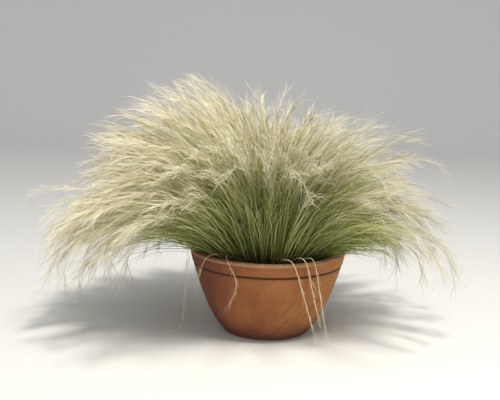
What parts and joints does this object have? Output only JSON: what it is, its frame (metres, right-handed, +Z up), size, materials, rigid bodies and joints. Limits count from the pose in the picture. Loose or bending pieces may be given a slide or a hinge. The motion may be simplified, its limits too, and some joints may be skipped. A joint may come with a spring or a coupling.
{
  "type": "potted ornamental grass clump",
  "caption": "Clump of fine feather grass with green leaves and blond cascading seed heads, growing in a round terracotta bowl with a banded lip.",
  "frame": {"origin": "centre of the bowl's flat foot, on the surface it stands on", "axes": "+Z up; -Y is the side the plant is usually seen from, -X and +X its two long cascading sides"},
  "size_m": [1.2355, 1.0619, 0.7455],
  "materials": {
    "terracotta": "unglazed fired clay, weathered",
    "soil": null,
    "thatch": null,
    "leaf_green": null,
    "plume_straw": null,
    "stem_straw": null
  },
  "bodies": {
    "root": {"crown": "thatch", "leaf_tuft_inner_01": "leaf_green", "leaf_tuft_inner_02": "leaf_green", "leaf_tuft_inner_03": "leaf_green", "leaf_tuft_inner_04": "leaf_green", "leaf_tuft_middle_01": "leaf_green", "leaf_tuft_middle_02": "leaf_green", "leaf_tuft_middle_03": "leaf_green", "leaf_tuft_middle_04": "leaf_green", "leaf_tuft_middle_05": "leaf_green", "leaf_tuft_middle_06": "leaf_green", "leaf_tuft_middle_07": "leaf_green", "leaf_tuft_middle_08": "leaf_green", "leaf_tuft_outer_01": "leaf_green", "leaf_tuft_outer_02": "leaf_green", "leaf_tuft_outer_03": "leaf_green", "leaf_tuft_outer_04": "leaf_green", "leaf_tuft_outer_05": "leaf_green", "leaf_tuft_outer_06": "leaf_green", "leaf_tuft_outer_07": "leaf_green", "leaf_tuft_outer_08": "leaf_green", "leaf_tuft_outer_09": "leaf_green", "leaf_tuft_outer_10": "leaf_green", "leaf_tuft_outer_11": "leaf_green", "leaf_tuft_outer_12": "leaf_green", "plume_inner_01": "plume_straw", "plume_inner_02": "plume_straw", "plume_inner_03": "plume_straw", "plume_inner_04": "plume_straw", "plume_middle_01": "plume_straw", "plume_middle_02": "plume_straw", "plume_middle_03": "plume_straw", "plume_middle_04": "plume_straw", "plume_middle_05": "plume_straw", "plume_middle_06": "plume_straw", "plume_middle_07": "plume_straw", "plume_middle_08": "plume_straw", "plume_outer_01": "plume_straw", "plume_outer_02": "plume_straw", "plume_outer_03": "plume_straw", "plume_outer_04": "plume_straw", "plume_outer_05": "plume_straw", "plume_outer_06": "plume_straw", "plume_outer_07": "plume_straw", "plume_outer_08": "plume_straw", "plume_outer_09": "plume_straw", "plume_outer_10": "plume_straw", "plume_outer_11": "plume_straw", "plume_outer_12": "plume_straw", "potting_soil": "soil", "terracotta_bowl": "terracotta", "trailing_stem_back_1": "stem_straw", "trailing_stem_left_1": "stem_straw", "trailing_stem_left_2": "stem_straw", "trailing_stem_left_3": "stem_straw", "trailing_stem_right_1": "stem_straw", "trailing_stem_right_2": "stem_straw", "trailing_stem_right_3": "stem_straw", "trailing_stem_side_1": "stem_straw"}
  },
  "joints": []
}
